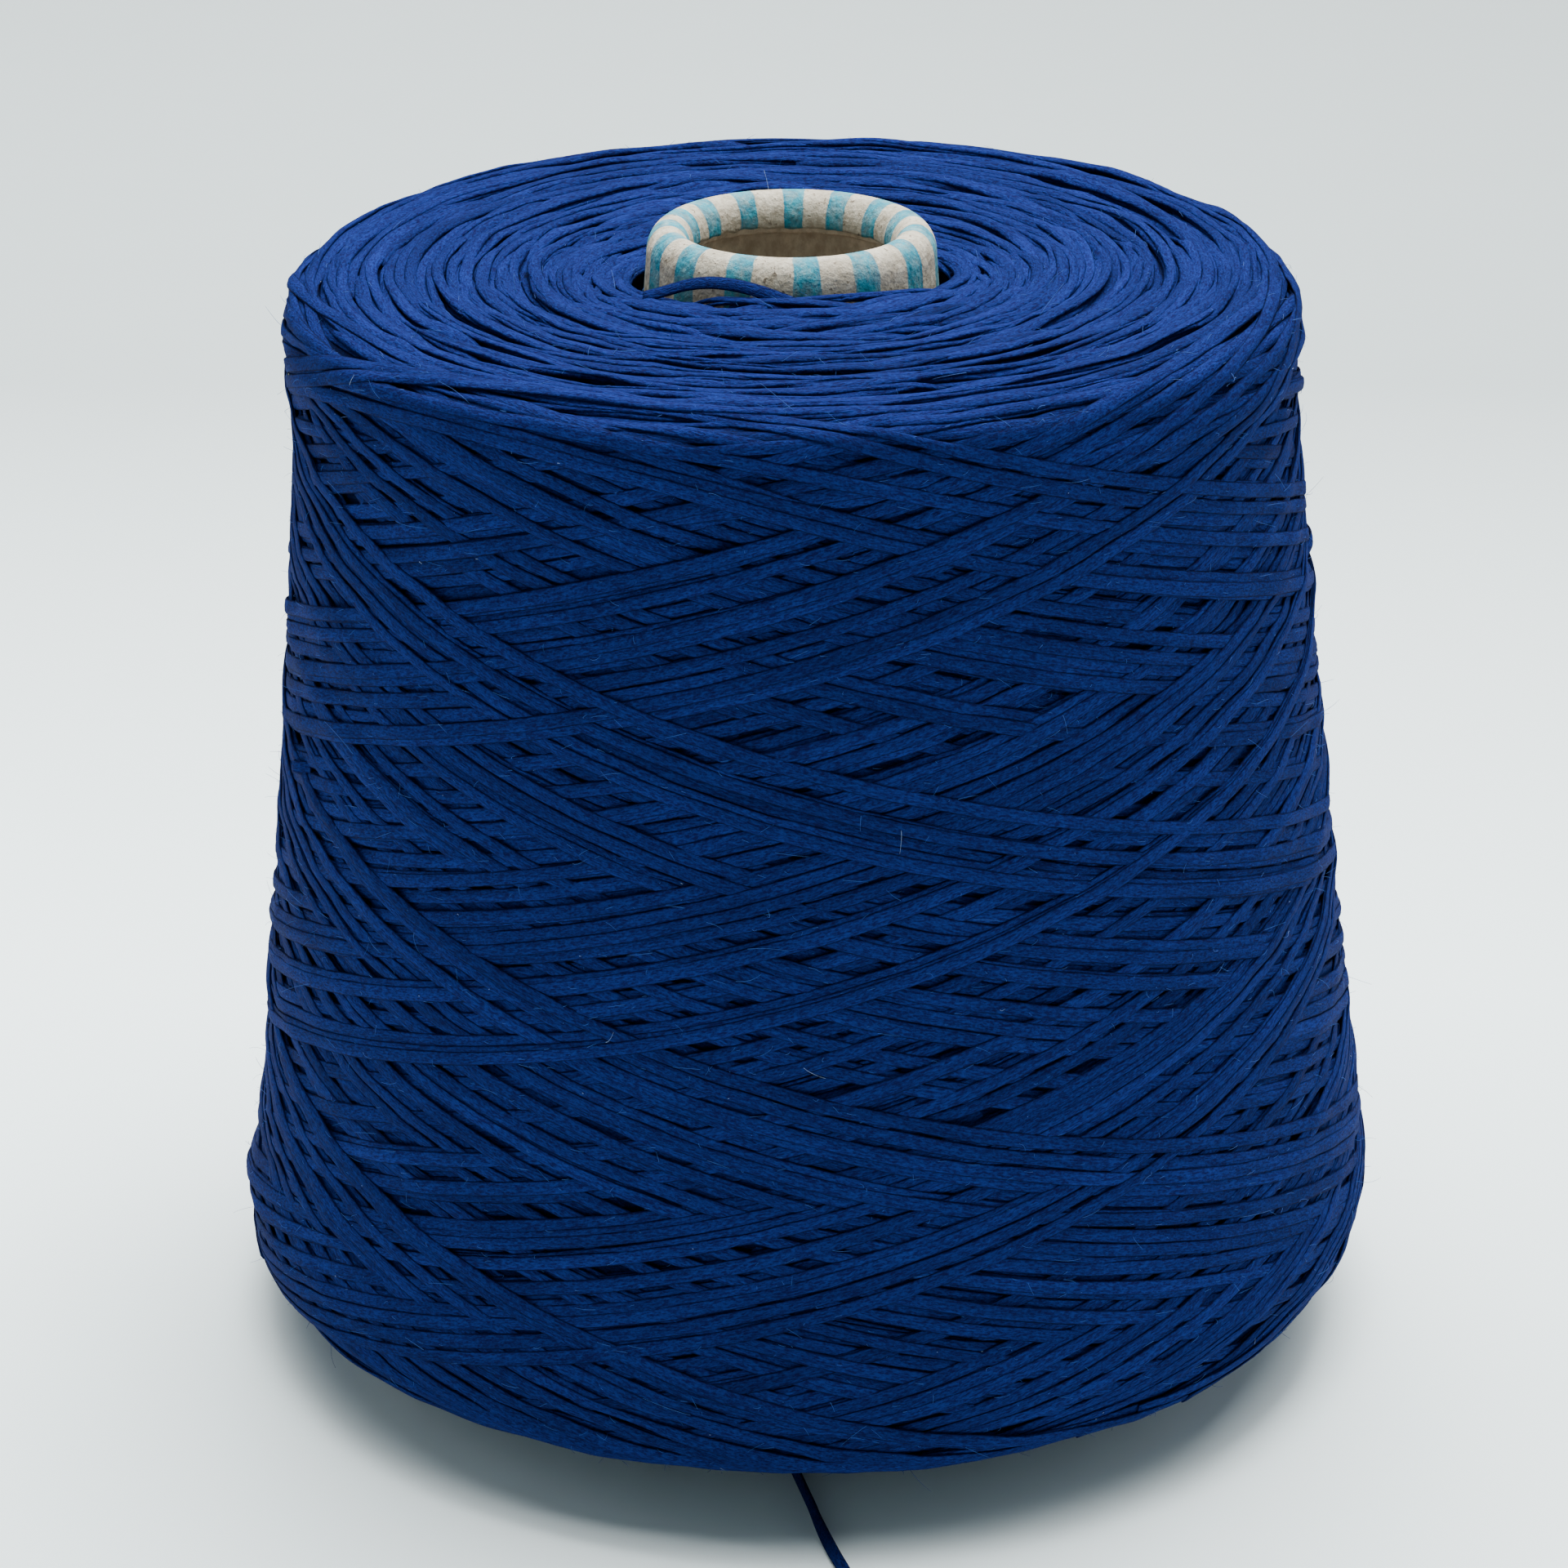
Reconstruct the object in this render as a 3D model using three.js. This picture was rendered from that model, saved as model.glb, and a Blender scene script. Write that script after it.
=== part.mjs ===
// A cone of flat cotton yarn, as used on knitting machines and for hand knitting.
// Millimetres. The origin is the centre of the cone's foot, on the surface that it stands on, and
// +Z runs up the cone's axis. The yarn's free end leaves towards -Y, which is the front.
import * as THREE from 'three';

// The paper cone
const CONE_HEIGHT = 170;
const CONE_TAPER = THREE.MathUtils.degToRad(4 + 20 / 60); // lean of the wall from the axis
const NOSE_RADIUS = 21; // outside, where the wall starts to roll in
const ROLL_OUT = 3.2; // half the width of the rolled edge, outside
const ROLL_UP = 4.2; // and its height over the straight wall
const COVER_THICKNESS = 0.5;
const COVER_LIP_ANGLE = 190; // how far the printed ply goes round the rolled edge, in degrees
const BOARD_THICKNESS = 1.8;
const BOARD_LIP_ANGLE = 212;
const GAP = 0.3; // between neighbouring pieces

// The wound yarn
const PACKAGE_FOOT_Z = 11.4; // underside, next to the cone
const PACKAGE_RIM_Z = 10.6; // underside, at its rounded edge
const PACKAGE_WIDEST = { radius: 86.9, z: 22.7 };
const PACKAGE_RIM_RADIUS = 80.2;
const PACKAGE_SHOULDER = { radius: 73.3, z: 159.6 };
const PACKAGE_CROWN = { radius: 65.9, z: 164.3 };
const PACKAGE_DISH = { radius: 40, z: 163.4 };
const PACKAGE_NECK_Z = 161.6; // top, next to the cone
const PACKAGE_WAIST = 2.1; // how far the side is drawn in, halfway up

// The yarn itself, a flat tape
const YARN_WIDTH = 1.9;
const YARN_RADIUS = YARN_WIDTH / 2;

// The turns at the foot of the cone that hold the yarn's inner end
const BUNCH_THICKNESS = 1.1;
const BUNCH_LOW_Z = 1.2;
const BUNCH_HIGH_Z = 7.2;

// The free end: its route over the surface, from the bunch to the coil, as [x, y]
const TAIL_ROUTE = [
  [-15.2, -32.6], [-12.6, -34.3], [-10.2, -36.3], [-8.1, -38.7], [-6.4, -41.4], [-5.0, -44.4],
  [-3.8, -47.6], [-2.8, -50.9], [-1.9, -54.2], [-1.1, -57.5], [-0.3, -60.8], [0.5, -64.1],
  [1.3, -67.4], [2.1, -70.7], [2.9, -74.0], [3.6, -77.3], [4.4, -80.6], [5.3, -83.9], [6.3, -87.2],
  [7.4, -90.4], [8.4, -93.6], [9.3, -96.9], [9.9, -100.2], [10.3, -103.5], [10.4, -106.8],
];
const TAIL_STEPS = 46;
const COIL_CENTRE = { x: -3.5, y: -107.2 };
const COIL_INNER_RADIUS = 8.7;
const COIL_OUTER_RADIUS = 12.6;
const COIL_HEIGHT = 2.4;

// The loose turn beside the nose, as [angle round the axis in degrees, radius, z]
const LOOP_ROUTE = [
  [-142, 26.6, 163.9], [-136, 24.8, 165.0], [-129, 23.6, 166.2], [-121, 23.1, 167.0],
  [-113, 23.0, 167.2], [-105, 23.1, 166.9], [-97, 23.5, 166.2], [-89, 24.2, 165.2],
  [-82, 25.2, 164.2],
];
const LOOP_RADIUS = 0.75;
const LOOP_STEPS = 18;

// Fineness
const AROUND = 60; // facets round the axis
const ARC_STEPS = 9;
const SIDE_STEPS = 6;
const TUBE_SIDES = 8;

const ROLL_CENTRE = { radius: NOSE_RADIUS - ROLL_OUT, z: CONE_HEIGHT - ROLL_UP };

/** Outside radius of the printed cone at a height. */
function coneRadius(z) {
  return NOSE_RADIUS + (ROLL_CENTRE.z - z) * Math.tan(CONE_TAPER);
}

/** Points on an ellipse in the radius-height plane, from one angle to another, in degrees. */
function arc(centre, radiusOut, radiusUp, from, to, steps = ARC_STEPS) {
  const points = [];
  for (let i = 0; i <= steps; i += 1) {
    const angle = THREE.MathUtils.degToRad(THREE.MathUtils.lerp(from, to, i / steps));
    const out = centre.radius + radiusOut * Math.cos(angle);
    const up = centre.z + radiusUp * Math.sin(angle);
    points.push(new THREE.Vector2(out, up));
  }
  return points;
}

/** A solid of revolution about Z from an outline of radius and height, which it closes. */
function turned(outline) {
  const geometry = new THREE.LatheGeometry([...outline, outline[0].clone()], AROUND);
  return geometry.rotateX(Math.PI / 2);
}

/** A round tube of that radius along a smooth line through the points. */
function tube(points, radius, steps) {
  const section = new THREE.Shape();
  for (let i = 0; i < TUBE_SIDES; i += 1) {
    const angle = (2 * Math.PI * (i + 0.5)) / TUBE_SIDES;
    const reach = radius / Math.cos(Math.PI / TUBE_SIDES);
    const corner = [reach * Math.cos(angle), reach * Math.sin(angle)];
    if (i === 0) section.moveTo(...corner);
    else section.lineTo(...corner);
  }
  section.closePath();
  const extrudePath = new THREE.CatmullRomCurve3(points, false, 'centripetal');
  return new THREE.ExtrudeGeometry(section, { steps, bevelEnabled: false, extrudePath });
}

/**
 * The outline of one ply of the cone: a straight tapered wall that rolls inwards at the nose.
 * inset is how far its outside lies under the printed surface.
 */
function plyOutline(inset, thickness, footZ, lipAngle) {
  const under = inset + thickness;
  return [
    new THREE.Vector2(coneRadius(footZ) - inset, footZ),
    ...arc(ROLL_CENTRE, ROLL_OUT - inset, ROLL_UP - inset, 0, lipAngle),
    ...arc(ROLL_CENTRE, ROLL_OUT - under, ROLL_UP - under, lipAngle, 0),
    new THREE.Vector2(coneRadius(footZ) - under, footZ),
  ];
}

/** The outline of the wound package, from its foot at the cone, out, up and back to the cone. */
function packageOutline() {
  const widest = PACKAGE_WIDEST;
  const shoulder = PACKAGE_SHOULDER;
  const crown = PACKAGE_CROWN;
  const outline = [new THREE.Vector2(coneRadius(PACKAGE_FOOT_Z) + GAP, PACKAGE_FOOT_Z)];
  const rimCentre = { radius: PACKAGE_RIM_RADIUS, z: widest.z };
  const rimOut = widest.radius - rimCentre.radius;
  outline.push(...arc(rimCentre, rimOut, widest.z - PACKAGE_RIM_Z, -90, 0));
  for (let i = 1; i < SIDE_STEPS; i += 1) {
    const share = i / SIDE_STEPS;
    const drawnIn = PACKAGE_WAIST * 4 * share * (1 - share);
    const radius = THREE.MathUtils.lerp(widest.radius, shoulder.radius, share) - drawnIn;
    outline.push(new THREE.Vector2(radius, THREE.MathUtils.lerp(widest.z, shoulder.z, share)));
  }
  const crownCentre = { radius: crown.radius, z: shoulder.z };
  const crownOut = shoulder.radius - crown.radius;
  outline.push(...arc(crownCentre, crownOut, crown.z - shoulder.z, 0, 90));
  outline.push(new THREE.Vector2(PACKAGE_DISH.radius, PACKAGE_DISH.z));
  outline.push(new THREE.Vector2(coneRadius(PACKAGE_NECK_Z) + GAP, PACKAGE_NECK_Z));
  return outline;
}

/** The band of turns at the cone's foot, with its edges taken off. */
function bunchOutline() {
  const edge = BUNCH_THICKNESS / 3;
  const low = coneRadius(BUNCH_LOW_Z) + GAP;
  const high = coneRadius(BUNCH_HIGH_Z) + GAP;
  return [
    new THREE.Vector2(low, BUNCH_LOW_Z),
    new THREE.Vector2(low + BUNCH_THICKNESS - edge, BUNCH_LOW_Z),
    new THREE.Vector2(low + BUNCH_THICKNESS, BUNCH_LOW_Z + edge),
    new THREE.Vector2(high + BUNCH_THICKNESS, BUNCH_HIGH_Z - edge),
    new THREE.Vector2(high + BUNCH_THICKNESS - edge, BUNCH_HIGH_Z),
    new THREE.Vector2(high, BUNCH_HIGH_Z),
  ];
}

/** The outer shape of the coiled free end: a flat ring with round edges. */
function coilOutline() {
  const middle = (COIL_INNER_RADIUS + COIL_OUTER_RADIUS) / 2;
  const bulge = COIL_HEIGHT / 2;
  const outer = { radius: COIL_OUTER_RADIUS - bulge, z: bulge };
  const inner = { radius: COIL_INNER_RADIUS + bulge, z: bulge };
  return [
    new THREE.Vector2(middle, 0),
    ...arc(outer, bulge, bulge, -90, 90, 4),
    ...arc(inner, bulge, bulge, 90, 270, 4),
  ];
}

function yarnMaterial(color) {
  return new THREE.MeshStandardMaterial({ color, roughness: 0.9, metalness: 0 });
}

function namedMesh(name, geometry, material) {
  const mesh = new THREE.Mesh(geometry, material);
  mesh.name = name;
  return mesh;
}

function coneBoard() {
  const outline = plyOutline(COVER_THICKNESS + GAP, BOARD_THICKNESS, 0, BOARD_LIP_ANGLE);
  const material = new THREE.MeshStandardMaterial({ color: 0x6e6557, roughness: 0.95, metalness: 0 });
  return namedMesh('cone_board', turned(outline), material);
}

function coneCover() {
  const outline = plyOutline(0, COVER_THICKNESS, GAP, COVER_LIP_ANGLE);
  const material = new THREE.MeshStandardMaterial({ color: 0xcfc9bf, roughness: 0.8, metalness: 0 });
  return namedMesh('cone_cover', turned(outline), material);
}

function yarnPackage() {
  return namedMesh('yarn_package', turned(packageOutline()), yarnMaterial(0x0c3478));
}

function noseLoop() {
  const points = LOOP_ROUTE.map(([degrees, radius, z]) => {
    const angle = THREE.MathUtils.degToRad(degrees);
    return new THREE.Vector3(radius * Math.cos(angle), radius * Math.sin(angle), z);
  });
  return namedMesh('nose_loop', tube(points, LOOP_RADIUS, LOOP_STEPS), yarnMaterial(0x0d3780));
}

function tailBunch() {
  return namedMesh('tail_bunch', turned(bunchOutline()), yarnMaterial(0x0a2c66));
}

function tail() {
  const points = TAIL_ROUTE.map(([x, y]) => new THREE.Vector3(x, y, YARN_RADIUS));
  return namedMesh('tail', tube(points, YARN_RADIUS, TAIL_STEPS), yarnMaterial(0x0b2f6c));
}

function tailCoil() {
  const mesh = namedMesh('tail_coil', turned(coilOutline()), yarnMaterial(0x0b2e6a));
  mesh.position.set(COIL_CENTRE.x, COIL_CENTRE.y, 0);
  return mesh;
}

const yarnCone = new THREE.Group();
yarnCone.add(coneBoard(), coneCover(), yarnPackage(), noseLoop(), tailBunch(), tail(), tailCoil());

export default yarnCone;
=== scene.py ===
"""A cone of flat cotton yarn: its looks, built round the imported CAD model.

Sizes are in millimetres in the model's own frame, and MM turns them into Blender's metres. The origin is
the centre of the cone's foot, +Z runs up its axis and -Y is the front, where the yarn's free end leaves.
"""

import math

import bpy
import numpy as np
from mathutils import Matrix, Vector


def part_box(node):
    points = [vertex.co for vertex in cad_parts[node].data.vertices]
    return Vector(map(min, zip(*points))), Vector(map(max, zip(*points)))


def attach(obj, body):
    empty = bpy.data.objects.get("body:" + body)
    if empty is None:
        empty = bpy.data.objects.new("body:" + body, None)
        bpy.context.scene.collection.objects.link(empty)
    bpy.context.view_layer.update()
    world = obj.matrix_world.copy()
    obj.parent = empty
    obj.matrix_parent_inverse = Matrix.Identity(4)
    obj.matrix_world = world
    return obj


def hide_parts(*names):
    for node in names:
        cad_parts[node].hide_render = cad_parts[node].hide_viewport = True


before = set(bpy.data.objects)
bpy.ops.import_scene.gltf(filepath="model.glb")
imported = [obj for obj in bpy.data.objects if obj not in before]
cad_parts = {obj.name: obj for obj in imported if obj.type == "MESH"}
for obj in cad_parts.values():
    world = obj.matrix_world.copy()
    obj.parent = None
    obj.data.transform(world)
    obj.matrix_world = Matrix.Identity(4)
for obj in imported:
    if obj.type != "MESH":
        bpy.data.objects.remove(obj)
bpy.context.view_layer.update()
MM = 0.001
rng = np.random.default_rng(11)

# The cone, as in the CAD model
CONE_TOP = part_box("cone_cover")[1].z / MM
CONE_TAPER = math.radians(4 + 20 / 60)
NOSE_RADIUS = 21.0
ROLL_OUT = 3.2
ROLL_UP = 4.2
ROLL_CENTRE = np.array([NOSE_RADIUS - ROLL_OUT, CONE_TOP - ROLL_UP])
COVER_THICKNESS = 0.5
COVER_LIP_ANGLE = 190
BOARD_THICKNESS = 1.8
BOARD_LIP_ANGLE = 212
GAP = 0.3

# The wound package
PACKAGE_LOW, PACKAGE_HIGH = (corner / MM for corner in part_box("yarn_package"))
RIM_RADIUS = 80.2
FOOT_Z = 11.4
WIDEST = np.array([PACKAGE_HIGH.x, 22.7])
SHOULDER = np.array([73.3, 159.6])
CROWN = np.array([65.9, PACKAGE_HIGH.z])
WAIST = 2.1
DISH_DEPTH = 0.9  # how far the top has sunk, DISH_STEP inside the crown
DISH_STEP = 25.9
TOP_TILT = 0.5  # how much higher the crown is towards +X
TOP_END_RADIUS = 21.3
NOSE_HOLLOW = 2.6  # width of the hollow behind the nose

# Slow swells of the side, as [height, how far it stands proud]
SIDE_SWELLS = np.array([
    [22.7, 0.0], [30, -0.35], [60, 0.3], [100, 0.3], [120, 0.0], [133, -0.5], [143, -0.65],
    [150, 0.0], [155.5, 0.6], [159.6, 0.2], [164.3, 0.0],
])
# The winding leans towards +X, as [height, how far]
LEAN = np.array([
    [10.6, 0.8], [18, 2.0], [28, 2.9], [42, 2.9], [60, 2.2], [95, 1.7], [130, 1.0], [150, 0.2], [165, 0.0],
])

# The yarn, a flat knitted tape
TAPE_WIDTH = 2.15
TAPE_THICKNESS = 0.46
PRESSED_THICKNESS = 0.21  # what one layer adds under the layers over it
LOOSE_WIDTH = 1.9
LOOSE_THICKNESS = 0.5
LOOSE_TONE = 0.95  # how bright yarn outside the winding is, beside the mean of the winding

# How the package is wound
TRAVERSE_TURNS = 2.3333  # turns of the cone for one stroke up and down
STROKE_DRIFT = 0.0355  # what a stroke adds to them, so that every third lies beside the last, in radians
JUMP_CHANCE = 0.11  # that a stroke starts a new band of strands instead
JUMPS = (0.2, 2.0)
STROKES = 240
STROKES_PER_SETTLING = 12
FIRST_TOP_TURNS = 900
FIRST_FOOT_TURNS = 300
TOP_TURNS_PER_SETTLING = 26
FOOT_TURNS_PER_SETTLING = 30
TOP_WIDTHS = (1.4, 2.2)
TOP_THICKNESSES = (0.55, 0.9)
FOOT_WIDTHS = (1.8, 2.5)
FOOT_THICKNESSES = (0.6, 0.9)
FACE_EDGE_SHADE = 0.86  # how strong the painted shade along the edges of the end faces' strands is, beside the side's
MEAN_RADIUS = 80.0
LEVEL_SPAN = 5.0  # unevenness over a longer stretch than this is pressed flat
BOTTOM_ROUND = 1.2  # how much of a turn a reversal at the rim takes, in radians
TOP_ROUNDS = (0.9, 2.3)  # and one at the shoulder
LOW_REVERSAL_RADIUS = RIM_RADIUS + 3.2
FACE_TURN_STEP = 2 * math.pi * 0.3349  # from one turn on an end face to the next
FACE_HALF_TURNS = (0.34, 0.72)
SAMPLE_STEP = 1.5
LIFT = -0.45  # from the outline to the underside of an average strand
SEEN_DEPTH = 0.85  # how far under the top strands others can still be seen
CELL = 0.5
CELLS_AROUND = 1200
CORE_HEIGHT = -1.5
CORE_AROUND = 240
# painted shade: how much darker the core is, since the deep layers it stands for lie in shade
CORE_PAINTED_SHADE = 0.6

# Loose fibres and dust
FUZZ_FIBRES = 4200
PALE_FIBRES = 36
SPECKS = 110
FIBRE_RINGS = 6
FIBRE_RADIUS = 0.035
SPECK_RADIUS = 0.05

# The free end, as in the CAD model
TAIL_LENGTH = 300.0
TAIL_TURNS_OVER = (42, 74)  # where along it the end turns over, from standing on its edge to lying flat
TAIL_ROUTE = [
    (-15.2, -32.6), (-12.6, -34.3), (-10.2, -36.3), (-8.1, -38.7), (-6.4, -41.4), (-5.0, -44.4),
    (-3.8, -47.6), (-2.8, -50.9), (-1.9, -54.2), (-1.1, -57.5), (-0.3, -60.8), (0.5, -64.1),
    (1.3, -67.4), (2.1, -70.7), (2.9, -74.0), (3.6, -77.3), (4.4, -80.6), (5.3, -83.9), (6.3, -87.2),
    (7.4, -90.4), (8.4, -93.6), (9.3, -96.9), (9.9, -100.2), (10.3, -103.5), (10.4, -106.8),
]
COIL_CENTRE = np.array([-3.5, -107.2])
COIL_TURNS = [(11.65, 0.45), (9.7, 0.5), (9.75, 1.42), (11.6, 1.45)]  # radius and height of each
COIL_POINTS_PER_TURN = 16

# The turns that hold the yarn's inner end, round the bare cone
BUNCH_RADIUS = 33.5
BUNCH_TURNS = 3.6
BUNCH_HIGH_Z = 6.0
BUNCH_LOW_Z = 2.4

# The loose turn beside the nose, as (angle round the axis in degrees, radius, z)
LOOP_ROUTE = [
    (-142, 26.6, 163.9), (-136, 24.8, 165.0), (-129, 23.6, 166.2), (-121, 23.1, 167.0),
    (-113, 23.0, 167.2), (-105, 23.1, 166.9), (-97, 23.5, 166.2), (-89, 24.2, 165.2),
    (-82, 25.2, 164.2),
]

# Where the printed stripes lie, in degrees round from the front
STRIPES = [6, 31, 57, 83, 107.5, 130, 154.5, 179, 205, 230, 250, 269, 291, 313, 338.5]
STRIPE_WIDTH = 11.0

# Loose stretches of the winding, as (degrees round from +X, z, length, how far they stand off, slant)
LOOSE_LOOPS = [
    (178, 14.0, 9.0, 0.6, -1.5), (2, 121.0, 10.0, 0.7, 1.5), (68, 140.0, 8.0, 0.8, -1.2),
    (-160, 96.0, 7.0, 0.7, 1.0),
]

# The camera
CAMERA_AT = np.array([-1.1, -650.2, 356.3])
CAMERA_TARGET = np.array([-1.1, 0.0, 82.3])
CAMERA_LENS = 107.04

# The studio, in metres
FLOOR_RADIUS = 2.6
WALL_CURVE = 0.8
WALL_HEIGHT = 2.6
WALL_LIGHT_ANGLES = (45, 135, 225, 315)
STAGE_AROUND = 96

# How tapes are put together: eight corners, as (share of the width, share of the thickness)
TAPE_CORNERS = np.array([
    (-0.5, 0.5), (-0.37, 0.88), (0.0, 1.0), (0.37, 0.88), (0.5, 0.5), (0.36, 0.05), (0.0, 0.0),
    (-0.36, 0.05),
])
CORNERS = len(TAPE_CORNERS)
EDGE_SHADES = np.where(TAPE_CORNERS[:, 1] < 0.4, 1.0, 2 * np.abs(TAPE_CORNERS[:, 0]))  # 1 at the tape's edges and underside, which the yarn's material darkens as painted shade
FACES_PER_PIECE = 90000


# ---- meshes and nodes

def add_object(name, data):
    item = bpy.data.objects.new(name, data)
    bpy.context.scene.collection.objects.link(item)
    return item


def mesh_piece(name, points, faces, material, stands_for, attributes=None):
    """A smooth piece of four-sided faces, from points in millimetres, that stands for nodes of the CAD."""
    points = np.asarray(points, np.float32).reshape(-1, 3)
    mesh = bpy.data.meshes.new(name)
    mesh.vertices.add(len(points))
    mesh.vertices.foreach_set("co", points.ravel() * MM)
    mesh.loops.add(faces.size)
    mesh.loops.foreach_set("vertex_index", faces.astype(np.int32).ravel())
    mesh.polygons.add(len(faces))
    mesh.polygons.foreach_set("loop_start", np.arange(0, faces.size, 4, dtype=np.int32))
    for key, values in (attributes or {}).items():
        kind, field = ("FLOAT_VECTOR", "vector") if values.size > len(points) else ("FLOAT", "value")
        layer = mesh.attributes.new(key, kind, "POINT")
        layer.data.foreach_set(field, values.astype(np.float32).ravel())
    mesh.update(calc_edges=True)
    mesh.shade_smooth()
    mesh.materials.append(material)
    piece = add_object(name, mesh)
    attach(piece, "root")
    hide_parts(*stands_for)
    return piece


class Shader:
    """A node material under construction, with short ways to add and join nodes."""

    def __init__(self, name):
        self.material = bpy.data.materials.new(name)
        self.material.use_nodes = True
        self.tree = self.material.node_tree
        self.surface = self.tree.nodes["Principled BSDF"]

    def add(self, kind, inputs=None, **settings):
        """A node with its settings, and with a value or a link on each of the given inputs."""
        node = self.tree.nodes.new(kind)
        for key, value in settings.items():
            setattr(node, key, value)
        for key, value in (inputs or {}).items():
            self.join(value, node.inputs[key])
        return node

    def join(self, source, socket):
        if hasattr(source, "is_output"):
            self.tree.links.new(source, socket)
        else:
            socket.default_value = source

    def attribute(self, name, kind="Fac"):
        return self.add("ShaderNodeAttribute", attribute_name=name).outputs[kind]

    def place(self):
        """Where a point is on the piece, in metres."""
        return self.add("ShaderNodeTexCoord").outputs["Object"]

    def coordinate(self, axis):
        return self.add("ShaderNodeSeparateXYZ", {0: self.place()}).outputs[axis]

    def math(self, operation, a, b):
        return self.add("ShaderNodeMath", {0: a, 1: b}, operation=operation).outputs[0]

    def scaled(self, vector, scale):
        return self.add("ShaderNodeVectorMath", {0: vector, 1: scale}, operation="MULTIPLY").outputs[0]

    def noise(self, vector, scale, detail=2.0, roughness=0.5):
        inputs = {"Vector": vector, "Scale": scale, "Detail": detail, "Roughness": roughness}
        return self.add("ShaderNodeTexNoise", inputs).outputs["Fac"]

    def between(self, value, low, high, to_low=0.0, to_high=1.0):
        inputs = {"Value": value, "From Min": low, "From Max": high, "To Min": to_low, "To Max": to_high}
        return self.add("ShaderNodeMapRange", inputs, clamp=True).outputs["Result"]

    def mix(self, share, a, b, blend="MIX"):
        inputs = {"Factor": share, 6: a, 7: b}
        return self.add("ShaderNodeMix", inputs, data_type="RGBA", blend_type=blend).outputs[2]

    def bump(self, height, distance, strength=1.0):
        inputs = {"Height": height, "Distance": distance, "Strength": strength}
        return self.add("ShaderNodeBump", inputs).outputs["Normal"]

    def finish(self, color, roughness, normal, **constants):
        inputs = {"Base Color": color, "Roughness": roughness, "Normal": normal, **constants}
        for key, value in inputs.items():
            self.join(value, self.surface.inputs[key.replace("_", " ")])
        return self.material


# ---- materials

def yarn_material(name, shade):
    """Knitted cotton tape, with painted shade along its edges. The attribute thread is along and across it in
    mm and a number for each strand.
    """
    shader = Shader(name)
    thread = shader.attribute("thread", "Vector")
    tone = shader.attribute("tone")
    edge_shade = shader.attribute("edge_shade")
    streaks = shader.noise(shader.scaled(thread, (1.0, 3.6, 7.0)), 1.0, 3.0, 0.6)
    stitches = shader.noise(shader.scaled(thread, (2.2, 4.2, 3.0)), 1.0, 2.0, 0.6)
    drift = shader.noise(shader.scaled(thread, (0.06, 0.3, 1.3)), 1.0, 2.0)
    # shade scales the whole colour; below 1 it is painted shade, as on the core
    dark = tuple(c * shade for c in (0.0042, 0.0050, 0.040)) + (1.0,)
    light = tuple(c * shade for c in (0.0072, 0.0205, 0.122)) + (1.0,)
    weave = shader.math("ADD", shader.math("MULTIPLY", streaks, 0.6), shader.math("MULTIPLY", stitches, 0.4))
    color = shader.mix(shader.between(weave, 0.40, 0.62), dark, light)
    worn = shader.between(drift, 0.3, 0.7, 0.82, 1.18)
    # painted shade: the tape darkens towards its edges and underside, where it meets the tapes beside and
    # under it
    edge = shader.between(edge_shade, 0.78, 1.0, 1.0, 0.22)
    shading = shader.math("MULTIPLY", shader.math("MULTIPLY", worn, tone), edge)
    color = shader.mix(1.0, color, shading, "MULTIPLY")
    relief = shader.math("ADD", streaks, shader.math("MULTIPLY", stitches, 0.7))
    normal = shader.bump(relief, 0.00024, 1.0)
    roughness = shader.between(stitches, 0.3, 0.7, 0.72, 0.9)
    return shader.finish(color, roughness, normal, Specular_IOR_Level=0.02)


def board_material():
    """Grey-brown chipboard, fibrous and a little darker where it is torn."""
    shader = Shader("grey_chipboard")
    place = shader.place()
    fibres = shader.noise(shader.scaled(place, (700, 700, 500)), 1.0, 4.0, 0.65)
    flecks = shader.noise(place, 520, 3.0, 0.7)
    blotches = shader.noise(place, 60, 3.0)
    color = shader.mix(shader.between(fibres, 0.3, 0.7), (0.36, 0.295, 0.22, 1), (0.66, 0.57, 0.45, 1))
    color = shader.mix(shader.between(flecks, 0.66, 0.74, 0, 0.6), color, (0.72, 0.66, 0.56, 1))
    color = shader.mix(shader.between(blotches, 0.35, 0.7, 0, 0.45), color, (0.22, 0.175, 0.125, 1))
    normal = shader.bump(shader.math("ADD", fibres, flecks), 0.00025, 0.8)
    return shader.finish(color, shader.between(fibres, 0.3, 0.7, 0.86, 0.98), normal, Specular_IOR_Level=0.2)


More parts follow.
